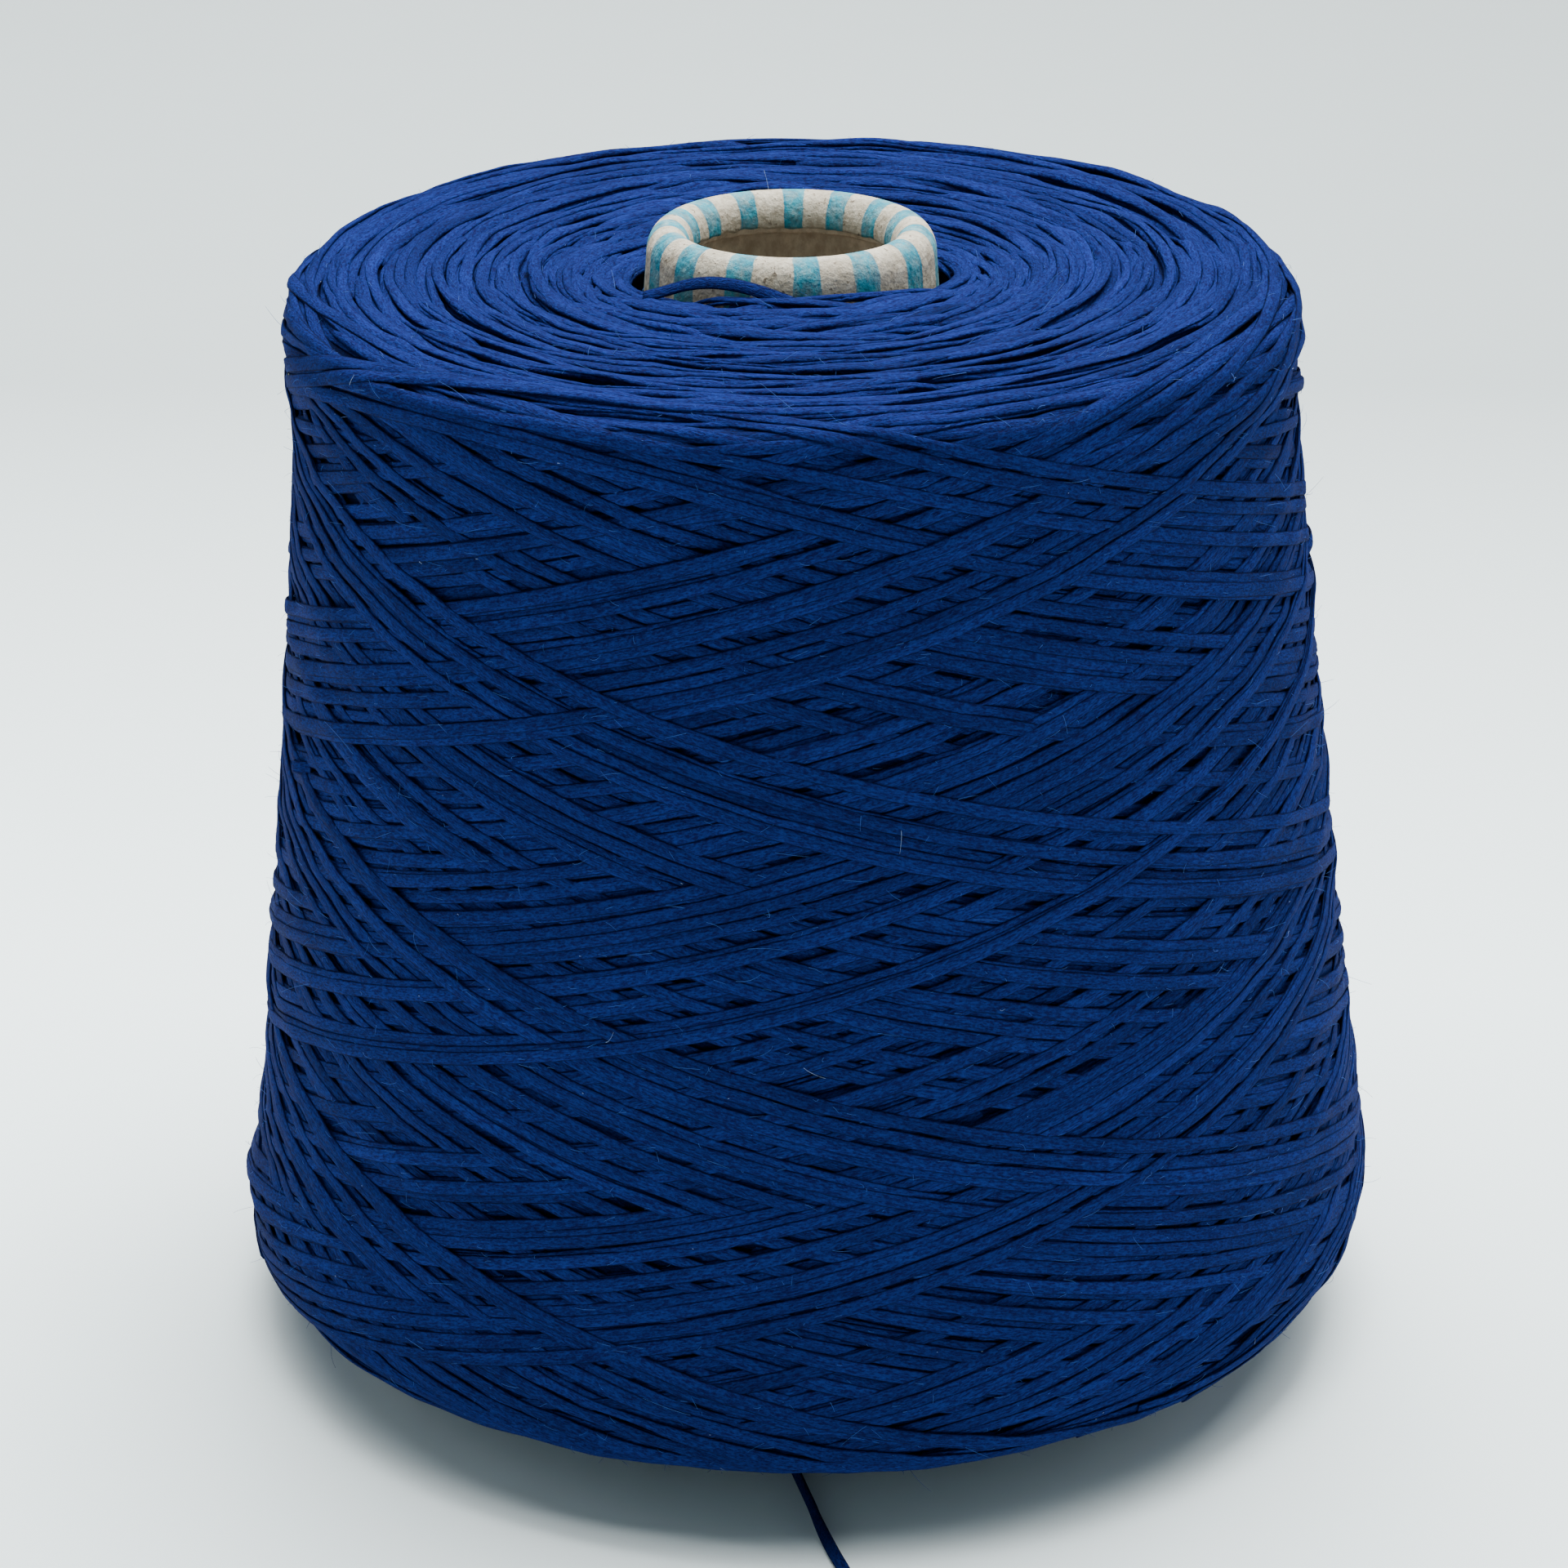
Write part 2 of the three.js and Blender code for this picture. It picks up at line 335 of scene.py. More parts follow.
def cover_material():
    """Off-white paper with worn turquoise stripes, and painted shade low on the nose's wall. The attribute
    stripe is how far inside one a point is.
    """
    shader = Shader("striped_paper")
    place = shader.place()
    inside = shader.attribute("stripe")
    right_edge = shader.attribute("edge")
    fibres = shader.noise(shader.scaled(place, (620, 620, 480)), 1.0, 4.0, 0.7)
    flecks = shader.noise(place, 1100, 2.0, 0.6)
    wear = shader.noise(shader.scaled(place, (520, 520, 330)), 1.0, 5.0, 0.75)
    grime = shader.noise(place, 130, 3.0, 0.6)
    paper = shader.mix(shader.between(fibres, 0.3, 0.7), (0.28, 0.243, 0.176, 1), (0.555, 0.515, 0.42, 1))
    paper = shader.mix(shader.between(flecks, 0.63, 0.69, 0, 0.85), paper, (0.10, 0.075, 0.05, 1))
    paper = shader.mix(shader.between(grime, 0.45, 0.72, 0, 0.35), paper, (0.33, 0.27, 0.19, 1))
    ink = shader.mix(shader.between(fibres, 0.3, 0.7), (0.003, 0.125, 0.185, 1), (0.03, 0.29, 0.37, 1))
    ink = shader.mix(shader.between(right_edge, 0.0, 1.0), ink, (0.002, 0.16, 0.245, 1))
    ragged = shader.math("ADD", inside, shader.between(wear, 0.2, 0.8, -0.35, 0.35))
    printed = shader.between(ragged, -0.10, 0.10)
    kept = shader.between(wear, 0.42, 0.70, 1.0, 0.55)
    kept = shader.math("MAXIMUM", kept, shader.between(right_edge, 0.0, 1.0, 0.0, 0.92))
    color = shader.mix(shader.math("MULTIPLY", printed, kept), paper, ink)
    # painted shade: the paper darkens lower down the nose's wall, into the hollow of the nose
    height = shader.coordinate("Z")
    painted_shade_low_wall = shader.between(height, (CONE_TOP - 9) * MM, (CONE_TOP - 1) * MM, 0.58, 1.0)
    color = shader.mix(1.0, color, painted_shade_low_wall, "MULTIPLY")
    normal = shader.bump(shader.math("ADD", fibres, shader.math("MULTIPLY", flecks, 0.6)), 0.00035, 0.9)
    return shader.finish(color, shader.between(fibres, 0.3, 0.7, 0.72, 0.92), normal, Specular_IOR_Level=0.3)


def fibre_material(name, scale, dark, light):
    """Single fibres, mottled from dark to light."""
    shader = Shader(name)
    grain = shader.noise(shader.place(), scale)
    color = shader.mix(grain, dark, light)
    normal = shader.bump(grain, 0.00002, 0.5)
    return shader.finish(color, shader.between(grain, 0.3, 0.7, 0.8, 0.95), normal)


def backdrop_material():
    """Pale grey studio paper, with painted shade that makes it a little darker towards the back and the
    right.
    """
    shader = Shader("studio_paper")
    grain = shader.noise(shader.place(), 30)
    color = shader.mix(grain, (0.82, 0.93, 0.94, 1), (0.84, 0.95, 0.96, 1))
    # painted shade: the paper darkens towards the back and towards the right
    painted_shade_back = shader.between(shader.coordinate("Y"), 0.10, 0.45, 1.0, 0.50)
    painted_shade_right = shader.between(shader.coordinate("X"), -0.15, 0.25, 1.0, 0.88)
    color = shader.mix(1.0, color, shader.math("MULTIPLY", painted_shade_back, painted_shade_right), "MULTIPLY")
    normal = shader.bump(grain, 0.0001, 0.1)
    return shader.finish(color, shader.between(grain, 0.3, 0.7, 0.9, 0.95), normal, Specular_IOR_Level=0.1)


# ---- outlines

def smooth_step(value, low, high):
    share = np.clip((value - low) / (high - low), 0, 1)
    return share * share * (3 - 2 * share)


def cone_radius(z):
    return NOSE_RADIUS + (ROLL_CENTRE[1] - z) * math.tan(CONE_TAPER)


def arc(centre, out, up, start, end, steps):
    """Points on an ellipse in the plane of radius and height, from one angle to another, in degrees."""
    angles = np.radians(np.linspace(start, end, steps + 1))
    return np.stack([centre[0] + out * np.cos(angles), centre[1] + up * np.sin(angles)], 1)


def package_outline():
    """Radius and height along the package, from the cone under it, out, up the side and in to the nose."""
    foot = np.array([[cone_radius(FOOT_Z) + GAP, FOOT_Z]])
    rim_centre = np.array([RIM_RADIUS, WIDEST[1]])
    rim = arc(rim_centre, WIDEST[0] - RIM_RADIUS, WIDEST[1] - PACKAGE_LOW.z, -90, 0, 40)
    share = np.linspace(0, 1, 60)[1:-1, None]
    side = WIDEST + (SHOULDER - WIDEST) * share
    side[:, 0] -= WAIST * 4 * (share * (1 - share))[:, 0]
    crown_centre = np.array([CROWN[0], SHOULDER[1]])
    shoulder = arc(crown_centre, SHOULDER[0] - CROWN[0], CROWN[1] - SHOULDER[1], 0, 90, 30)
    radii = np.linspace(CROWN[0], TOP_END_RADIUS, 80)[1:]
    top = np.stack([radii, CROWN[1] - DISH_DEPTH * ((CROWN[0] - radii) / DISH_STEP) ** 1.4], 1)
    return np.concatenate([foot, rim, side, shoulder, top])


def by_height(table, z):
    """Values at heights, from a table of [height, value]."""
    return np.interp(z, table[:, 0], table[:, 1])


class Surface:
    """The package's surface, unrolled: a place on it is an angle and a distance along its outline."""

    def __init__(self, outline):
        lengths = np.concatenate([[0], np.cumsum(np.hypot(*np.diff(outline, axis=0).T))])
        self.along = np.arange(0, lengths[-1], CELL)
        self.radius = np.interp(self.along, lengths, outline[:, 0])
        self.z = np.interp(self.along, lengths, outline[:, 1])
        slope_out = np.gradient(self.radius, CELL)
        slope_up = np.gradient(self.z, CELL)
        size = np.hypot(slope_out, slope_up)
        self.out = slope_up / size
        self.up = -slope_out / size
        bend = np.gradient(np.unwrap(np.arctan2(self.up, self.out)), CELL)
        self.bend = np.convolve(np.abs(bend), np.ones(5) / 5, "same")
        self.length = self.along[-1]
        self.widest = self.along[np.argmax(self.radius)]

    def at(self, values, along):
        return np.interp(along, self.along, values)

    def where(self, field, value, after=0.0):
        """The first distance along the outline, beyond after, at which the field reaches a value."""
        found = (self.along >= after) & (field >= value)
        return self.along[np.argmax(found)]

    def point(self, angle, along, height):
        """Points in millimetres, at a height over the surface."""
        radius, z = self.at(self.radius, along), self.at(self.z, along)
        out, up = self.at(self.out, along), self.at(self.up, along)
        swell = by_height(SIDE_SWELLS, z) * np.clip(out, 0, 1)
        out_by = out * (height + swell)
        on_top = np.clip(up, 0, 1)
        up_by = up * (height + swell) + (nose_dip(angle, radius) + TOP_TILT * np.cos(angle)) * on_top
        lean = by_height(LEAN, z) * smooth_step(radius, 32, 60)
        return np.stack([
            (radius + out_by) * np.cos(angle) + lean, (radius + out_by) * np.sin(angle), z + up_by,
        ], -1)


def behind_nose(angle):
    """From 0 in front of the nose to 1 behind it."""
    return (1 - np.cos(angle + math.pi / 2)) / 2


def nose_dip(angle, radius):
    """The yarn stands higher in front of the nose than beside and behind it."""
    turn = angle + math.pi / 2
    level = 0.2 + 2.6 * np.cos(turn) + 0.6 * np.cos(2 * turn)
    return level * (1 - smooth_step(radius, 24, 37))


# ---- winding

def taut(support, fall):
    """The line of a string pulled tight over a support, on a surface that curves away by fall."""
    level = support - fall
    kept = [0]
    for i in range(1, len(level)):
        while len(kept) > 1:
            a, b = kept[-2], kept[-1]
            if (level[b] - level[a]) * (i - a) > (level[i] - level[a]) * (b - a):
                break
            kept.pop()
        kept.append(i)
    return np.interp(np.arange(len(level)), kept, level[kept]) + fall


def slow_noise(count, spacing, size):
    """Smooth random values, one for each of count places, with a new draw every spacing places."""
    knots = rng.normal(0, size, int(count / spacing) + 4)
    places = np.arange(count) / spacing + 1
    whole = places.astype(int)
    part = places - whole
    part = part * part * (3 - 2 * part)
    return knots[whole] * (1 - part) + knots[whole + 1] * part


class Strand:
    """One stretch of yarn as laid: its places, the heights of its two edges and middle, its size, and in edge
    how strong the painted shade along its edges is.
    """

    def __init__(self, angle, along, heights, width, thickness, tone, edge):
        self.angle, self.along, self.heights = angle, along, heights
        self.width, self.thickness, self.tone, self.edge = width, thickness, tone, edge
        self.number = rng.uniform(0, 500)


class Winding:
    """The package as it is wound: strands laid one by one over the heights of those before."""

    SUPPORT_PLACES = np.linspace(-0.46, 0.46, 7)
    STAMP_PLACES = np.linspace(-0.45, 0.45, 5)
    STAMPS_PER_SAMPLE = 4
    MIDDLE_SAG = 0.08  # how far a strand's middle may hang under its edges
    EDGE_DROP = 0.28  # and its edges under its middle
    SEEN_MARGIN = 2  # samples shown past the last one that can be seen

    def __init__(self, surface):
        self.surface = surface
        self.heights = np.zeros((len(surface.along) + 2, CELLS_AROUND))
        self.strands = []

    def cells(self, angle, along):
        rows = np.clip(np.rint(along / CELL).astype(int), 0, len(self.heights) - 1)
        columns = np.rint(angle * (CELLS_AROUND / (2 * math.pi))).astype(int) % CELLS_AROUND
        return rows, columns

    def beside(self, angle, along, offset):
        """Places that lie an offset in mm to the left of a path."""
        radius = self.surface.at(self.surface.radius, along)
        round_step = np.gradient(angle) * radius
        along_step = np.gradient(along)
        size = np.maximum(np.hypot(round_step, along_step), 1e-9)
        return angle - offset * along_step / size / radius, along + offset * round_step / size

    def curvature(self, angle, along):
        """How fast the surface falls away under a path."""
        surface = self.surface
        radius = surface.at(surface.radius, along)
        round_step = np.gradient(angle) * radius
        along_step = np.gradient(along)
        size = np.maximum(round_step ** 2 + along_step ** 2, 1e-9)
        across = np.clip(surface.at(surface.out, along), 0, 1) / radius
        return (round_step ** 2 * across + along_step ** 2 * surface.at(surface.bend, along)) / size

    def lay(self, angle, along, width, thickness, tone, slack=0.03, roll=0.0, sink=0.0, edge=1.0):
        """Lays a strand over what is there, pulled tight, and remembers it."""
        support = np.stack([
            self.heights[self.cells(*self.beside(angle, along, share * width))]
            for share in self.SUPPORT_PLACES
        ])
        fall = np.cumsum(np.cumsum(self.curvature(angle, along) + slack)) * SAMPLE_STEP ** 2
        left = taut(support[:3].max(0), fall)
        middle = taut(support[2:5].max(0), fall)
        right = taut(support[4:].max(0), fall)
        middle = np.maximum(middle, (left + right) / 2 - self.MIDDLE_SAG)
        left = np.maximum(left, middle - self.EDGE_DROP)
        right = np.maximum(right, middle - self.EDGE_DROP)
        heights = np.stack([left + roll, middle, right - roll]) - sink
        heights[:, 1:-1] = (heights[:, :-2] + 2 * heights[:, 1:-1] + heights[:, 2:]) / 4
        strand = Strand(angle, along, heights, width, thickness, tone, edge)
        rows, columns, tops = self.stamps(strand)
        np.maximum.at(self.heights, (rows, columns), tops)
        self.strands.append(strand)

    def stamps(self, strand):
        """The cells that a strand covers and its top there, as one row for each place across it."""
        count = len(strand.angle)
        fine = np.linspace(0, count - 1, (count - 1) * self.STAMPS_PER_SAMPLE + 1)
        samples = np.arange(count)
        rows, columns, tops = [], [], []
        for share in self.STAMP_PLACES:
            angle, along = self.beside(strand.angle, strand.along, share * strand.width)
            level = self.level_at(strand, share)
            pressed = strand.thickness * PRESSED_THICKNESS / TAPE_THICKNESS
            found = self.cells(np.interp(fine, samples, angle), np.interp(fine, samples, along))
            rows.append(found[0])
            columns.append(found[1])
            tops.append(np.interp(fine, samples, level + pressed))
        return np.stack(rows), np.stack(columns), np.stack(tops)

    @staticmethod
    def level_at(strand, share):
        """The height of a strand's underside at a share of its width from the middle."""
        left, middle, right = strand.heights
        edge = left if share < 0 else right
        return middle + (edge - middle) * min(abs(share) / 0.4, 1)

    def settle(self):
        """Presses the yarn level with the surface, apart from what is smaller than LEVEL_SPAN."""
        level = self.smoothed_heights()
        self.heights -= level
        for strand in self.strands:
            strand.heights = strand.heights - level[self.cells(strand.angle, strand.along)]

    def smoothed_heights(self):
        """The heights without anything smaller than LEVEL_SPAN."""
        radius = np.append(self.surface.radius, [TOP_END_RADIUS] * 2)
        orders = np.arange(CELLS_AROUND // 2 + 1)
        damping = np.exp(-0.5 * (orders * LEVEL_SPAN / radius[:, None]) ** 2)
        around = np.fft.irfft(np.fft.rfft(self.heights, axis=1) * damping, CELLS_AROUND, axis=1)
        reach = int(2.5 * LEVEL_SPAN / CELL)
        weights = np.exp(-0.5 * (np.arange(-reach, reach + 1) * CELL / LEVEL_SPAN) ** 2)
        padded = np.pad(around, ((reach, reach), (0, 0)), "edge")
        rows = len(self.heights)
        return sum(weight * padded[k:k + rows] for k, weight in enumerate(weights / weights.sum()))

    def shown(self, strand):
        """Which samples of a strand can be seen, give or take those just beneath the top ones."""
        rows, columns, tops = self.stamps(strand)
        near_top = (tops > self.heights[rows, columns] - SEEN_DEPTH).any(0)
        fine = np.flatnonzero(near_top)
        seen = np.zeros(len(strand.angle), bool)
        seen[np.clip(np.rint(fine / self.STAMPS_PER_SAMPLE).astype(int), 0, len(seen) - 1)] = True
        for _ in range(self.SEEN_MARGIN):
            seen[1:] |= seen[:-1].copy()
            seen[:-1] |= seen[1:].copy()
        return seen


def side_strokes(winding):
    """Lays a stroke up and down the side, reversing at the rim and the shoulder, each time it is asked to."""
    surface = winding.surface
    low = surface.where(surface.radius, LOW_REVERSAL_RADIUS)
    high = surface.where(surface.z, SHOULDER[1])
    span = math.pi * TRAVERSE_TURNS
    angle = 0.0
    bottom = low
    while True:
        jump = rng.uniform(*JUMPS) if rng.random() < JUMP_CHANCE else 0.0
        half = span + (STROKE_DRIFT + rng.normal(0, 0.003) + jump) / 2
        top = high + min(8.0, rng.normal(2.5, 4.5))
        following = low + abs(rng.normal(0, 2.2))
        steps = int(2 * span * MEAN_RADIUS / SAMPLE_STEP)
        turn = np.linspace(0, 2 * half, steps)
        along = reversing(turn, half, bottom, top, following, rng.uniform(*TOP_ROUNDS))
        wobble = slow_noise(steps, 46, 0.4) / MEAN_RADIUS
        ends = np.sin(np.linspace(0, math.pi, steps)) ** 0.5
        width = np.clip(TAPE_WIDTH + slow_noise(steps, 26, 0.13), 1.7, 2.45)
        width -= 0.6 * smooth_step(slow_noise(steps, 14, 1.0), 1.8, 2.3)
        thickness = TAPE_THICKNESS * (TAPE_WIDTH / width) ** 0.7
        winding.lay(angle + turn + wobble * ends, along, width, thickness, rng.normal(1, 0.09))
        angle += 2 * half
        bottom = following
        yield


def reversing(turn, span, bottom, top, following, top_round):
    """How far along the outline a stroke is, at each turn: up from bottom to top and down to following.

    The corners are rounded with parabolas, whose whole widths in radians are BOTTOM_ROUND and top_round.
    """
    along = np.empty_like(turn)
    half_strokes = (
        (0.0, bottom, top, BOTTOM_ROUND, top_round),
        (span, top, following, top_round, BOTTOM_ROUND),
    )
    for start, first, last, first_round, last_round in half_strokes:
        part = (turn >= start) & (turn <= start + span)
        steep = (last - first) / (span - (first_round + last_round) / 4)
        distance = turn[part] - start
        remaining = span - distance
        value = first + steep * (distance - first_round / 4)
        near_first = distance < first_round / 2
        value[near_first] = first + steep * distance[near_first] ** 2 / first_round
        near_last = remaining < last_round / 2
        value[near_last] = last - steep * remaining[near_last] ** 2 / last_round
        along[part] = value
    return along


def wind_face(winding, count, from_along, to_along, widths, thicknesses, loose=0.0):
    """The reversals that make an end face of the package: short stretches that run nearly level round it."""
    surface = winding.surface
    radius_first = surface.at(surface.radius, from_along)
    radius_last = surface.at(surface.radius, to_along)
    turn = rng.uniform(0, 2 * math.pi)
    for number in range(count):
        share = (number + rng.random()) / count
        radius = math.sqrt(radius_first ** 2 * (1 - share) + radius_last ** 2 * share) + rng.normal(0, 0.8)
        near_nose = 1 - float(smooth_step(radius, 25, 40))
        middle = from_along + (radius - radius_first) / (radius_last - radius_first) * (to_along - from_along)
        turn += FACE_TURN_STEP + rng.normal(0, 0.25)
        half = rng.uniform(*FACE_HALF_TURNS) * (1 - 0.25 * near_nose)
        steps = max(9, int(2 * half * radius / SAMPLE_STEP))
        place = np.linspace(-1, 1, steps)
        tilt = rng.normal(0, 0.8 + 0.8 * near_nose * loose)
        waver = slow_noise(steps, 9, 0.25 + 0.35 * near_nose * loose)
        along = middle + tilt * place + waver
        gap = 0.9 + NOSE_HOLLOW * behind_nose(turn + half * place) ** 0.7
        along = np.clip(along, 0.9, surface.length - gap)
        width = rng.uniform(*widths) * (1 - 0.35 * np.abs(place) ** 3)
        thickness = np.full(steps, rng.uniform(*thicknesses))
        sink = 1.0 * np.abs(place) ** 3.6 + loose * near_nose * rng.uniform(0, 0.9)
        winding.lay(turn + half * place, along, width, thickness, rng.normal(1, 0.1),
                    slack=0.035, roll=rng.normal(0.03, 0.07), sink=sink, edge=FACE_EDGE_SHADE)
        if number % 60 == 59:
            winding.settle()
    winding.settle()


def wind_package():
    """The whole package. Its side and its end faces are wound turn about, so that they grow together."""
    surface = Surface(package_outline())
    winding = Winding(surface)
    crown = surface.where(surface.z, CROWN[1] - 0.05, surface.widest)
    face_share = 1.0
    foot = surface.where(surface.radius, RIM_RADIUS)
    top_face = (surface.length - 1.2, crown - 4.0, TOP_WIDTHS, TOP_THICKNESSES, 1.0)
    foot_face = (1.2, foot + 2.0, FOOT_WIDTHS, FOOT_THICKNESSES)
    wind_face(winding, int(FIRST_TOP_TURNS * face_share), *top_face)
    wind_face(winding, int(FIRST_FOOT_TURNS * face_share), *foot_face)
    strokes = side_strokes(winding)
    for _ in range(STROKES // STROKES_PER_SETTLING):
        for _ in range(STROKES_PER_SETTLING):
            next(strokes)
        wind_face(winding, TOP_TURNS_PER_SETTLING, *top_face)
        wind_face(winding, FOOT_TURNS_PER_SETTLING, *foot_face)
    return winding


# ---- tapes

def tape_faces(linked, first, last, corners=CORNERS):
    """Faces of tubes whose rings of corners follow each other where linked, with both ends closed."""
    ring = np.arange(corners)
    start = np.flatnonzero(linked)[:, None] * corners
    after = start + corners
    sides = np.stack([start + ring, after + ring, after + (ring + 1) % corners,
                      start + (ring + 1) % corners], -1).reshape(-1, 4)
    patches = np.array([[0, 1, 2, 7], [7, 2, 3, 6], [6, 3, 4, 5]] if corners == CORNERS else [[0, 1, 2, 3]])
    near = first[:, None, None] * corners + patches
    far = last[:, None, None] * corners + patches[:, ::-1]
    return np.concatenate([sides, near.reshape(-1, 4), far.reshape(-1, 4)])


def strand_rings(winding, strand):
    """The corners of a laid strand, in millimetres, and its thread coordinates."""
    rings, threads = [], []
    distance = np.arange(len(strand.angle)) * SAMPLE_STEP
    for across, up in TAPE_CORNERS:
        angle, along = winding.beside(strand.angle, strand.along, across * strand.width)
        level = winding.level_at(strand, across)
        rings.append(winding.surface.point(angle, along, level + up * strand.thickness + LIFT))
        around = across if up > 0.4 else math.copysign(1 - abs(across), across + 1e-9)
        threads.append(np.stack([distance, around * strand.width, np.full_like(distance, strand.number)], -1))
    return np.stack(rings, 1), np.stack(threads, 1)


def strand_pieces(winding, material):
    """Meshes of every stretch of the package's strands that can be seen."""
    rings, threads, tones, edge_shades, linked = [], [], [], [], []
    for strand in winding.strands:
        seen = winding.shown(strand)
        if seen.sum() < 3:
            continue
        ring, thread = strand_rings(winding, strand)
        keep = np.flatnonzero(seen)
        rings.append(ring[keep])
        threads.append(thread[keep])
        tones.append(np.full((len(keep), CORNERS), strand.tone))
        edge_shades.append(np.tile(EDGE_SHADES * strand.edge, (len(keep), 1)))
        linked.append(np.append(np.diff(keep) == 1, False))
    lists = (rings, threads, tones, edge_shades, linked)
    rings, threads, tones, edge_shades, linked = (np.concatenate(parts) for parts in lists)
    before = np.append(False, linked[:-1])
    first, last = np.flatnonzero(linked & ~before), np.flatnonzero(before & ~linked)
    per_piece = FACES_PER_PIECE // CORNERS
    pieces = 0
    begin = 0
    while begin < len(first):
        ring_start = first[begin]
        end = max(begin + 1, int(np.searchsorted(last, ring_start + per_piece)))
        end = min(end, len(first))
        span = slice(ring_start, last[end - 1] + 1)
        faces = tape_faces(linked[span], first[begin:end] - ring_start, last[begin:end] - ring_start)
        pieces += 1
        mesh_piece(f"yarn_winding_{pieces}", rings[span], faces, material, ("yarn_package",),
                   {"thread": threads[span], "tone": tones[span], "edge_shade": edge_shades[span]})
        begin = end


def distances(line):
    """How far along a line each of its points is."""
    return np.concatenate([[0], np.cumsum(np.linalg.norm(np.diff(line, axis=0), axis=1))])


def ribbon(name, route, width, thickness, roll, material, stands_for, tone=LOOSE_TONE):
    """A tape along a route of points in space. roll turns it about its line, in degrees, from lying flat."""
    route = np.asarray(route, float)
    ahead = np.gradient(route, axis=0)
    ahead /= np.linalg.norm(ahead, axis=1)[:, None]
    level = np.cross([0, 0, 1.0], ahead)
    level /= np.linalg.norm(level, axis=1)[:, None]
    upright = np.cross(ahead, level)
    angle = np.radians(roll)[:, None] * np.ones((len(route), 1))
    side = level * np.cos(angle) + upright * np.sin(angle)
    over = upright * np.cos(angle) - level * np.sin(angle)
    width, thickness = np.broadcast_to(width, len(route)), np.broadcast_to(thickness, len(route))
    rings, threads = [], []
    distance = distances(route)
    for across, up in TAPE_CORNERS:
        rings.append(route + side * (-across * width)[:, None] + over * ((up - 0.5) * thickness)[:, None])
        around = across * width + (0 if up > 0.4 else 3)
        threads.append(np.stack([distance, around, np.full_like(distance, 77)], -1))
    rings, threads = np.stack(rings, 1), np.stack(threads, 1)
    linked = np.append(np.ones(len(route) - 1, bool), False)
    faces = tape_faces(linked, np.array([0]), np.array([len(route) - 1]))
    return mesh_piece(name, rings, faces, material, stands_for, {
        "thread": threads, "tone": np.full(len(rings) * CORNERS, tone), "edge_shade": np.tile(EDGE_SHADES, len(rings)),
    })


def smooth_route(points, step):
    """Points a step apart on a smooth curve through the given ones."""
    points = np.asarray(points, float)
    padded = np.concatenate([[2 * points[0] - points[1]], points, [2 * points[-1] - points[-2]]])
    share = np.linspace(0, 1, 12, endpoint=False)[:, None]
    fine = []
    for a, b, c, d in zip(padded, padded[1:], padded[2:], padded[3:]):
        fine.append(0.5 * (2 * b + (c - a) * share + (2 * a - 5 * b + 4 * c - d) * share ** 2
                           + (3 * b - a - 3 * c + d) * share ** 3))
    fine = np.concatenate(fine + [points[-1:]])
    lengths = distances(fine)
    places = np.linspace(0, lengths[-1], int(lengths[-1] / step) + 2)
    return np.stack([np.interp(places, lengths, fine[:, k]) for k in range(points.shape[1])], 1)


# ---- the pieces

def make_camera():
    camera = add_object("camera", bpy.data.cameras.new("camera"))
    camera.data.lens = CAMERA_LENS
    camera.data.sensor_width = 36
    camera.data.clip_start = 0.01
    camera.data.clip_end = 20
    camera.location = Vector(CAMERA_AT) * MM
    camera.rotation_euler = Vector(CAMERA_TARGET - CAMERA_AT).to_track_quat("-Z", "Y").to_euler()
    bpy.context.scene.camera = camera


def tail_centreline():
    """The free end's line: from the bunch over the surface, then round the coil in two layers."""
    first_x, first_y = TAIL_ROUTE[0]
    points = [(first_x - 1.0, first_y - 0.2, 2.0)] + [(x, y, 0.62) for x, y in TAIL_ROUTE]
    start = np.array(TAIL_ROUTE[-1]) - COIL_CENTRE
    angle, radius = math.atan2(start[1], start[0]), float(np.hypot(*start))
    length = float(distances(np.array(points))[-1])
    step = 0
    while length < TAIL_LENGTH:
        step += 1
        turns = step / COIL_POINTS_PER_TURN
        layer = min(int(turns), len(COIL_TURNS) - 1)
        this_turn, next_turn = COIL_TURNS[layer], COIL_TURNS[min(layer + 1, len(COIL_TURNS) - 1)]
        share = float(smooth_step(turns - layer, 0.62, 1.0))
        settled = 1 - float(smooth_step(turns, 0.0, 0.35))
        target, z = (a * (1 - share) + b * share for a, b in zip(this_turn, next_turn))
        around = angle - 2 * math.pi * turns
        reach = target + (radius - COIL_TURNS[0][0]) * settled
        point = (COIL_CENTRE[0] + reach * math.cos(around), COIL_CENTRE[1] + reach * math.sin(around), z)
        length += math.dist(points[-1], point)
        points.append(point)
    return points


def make_tail(material):
    """The yarn's free end. Under the package it stands on its edge, and then it turns over to lie flat."""
    route = smooth_route(tail_centreline(), 1.0)
    distance = np.arange(len(route))
    roll = 72 * (1 - smooth_step(distance, *TAIL_TURNS_OVER)) + slow_noise(len(route), 16, 7)
    thickness = 0.62 + 0.2 * (1 - smooth_step(distance, 40, 70))
    lift = np.abs(np.sin(np.radians(roll))) * 0.42
    route[:, 2] += lift * (distance < 90)
    tail = ribbon("yarn_tail", route, 1.8, thickness, roll, material, ("tail", "tail_coil"))


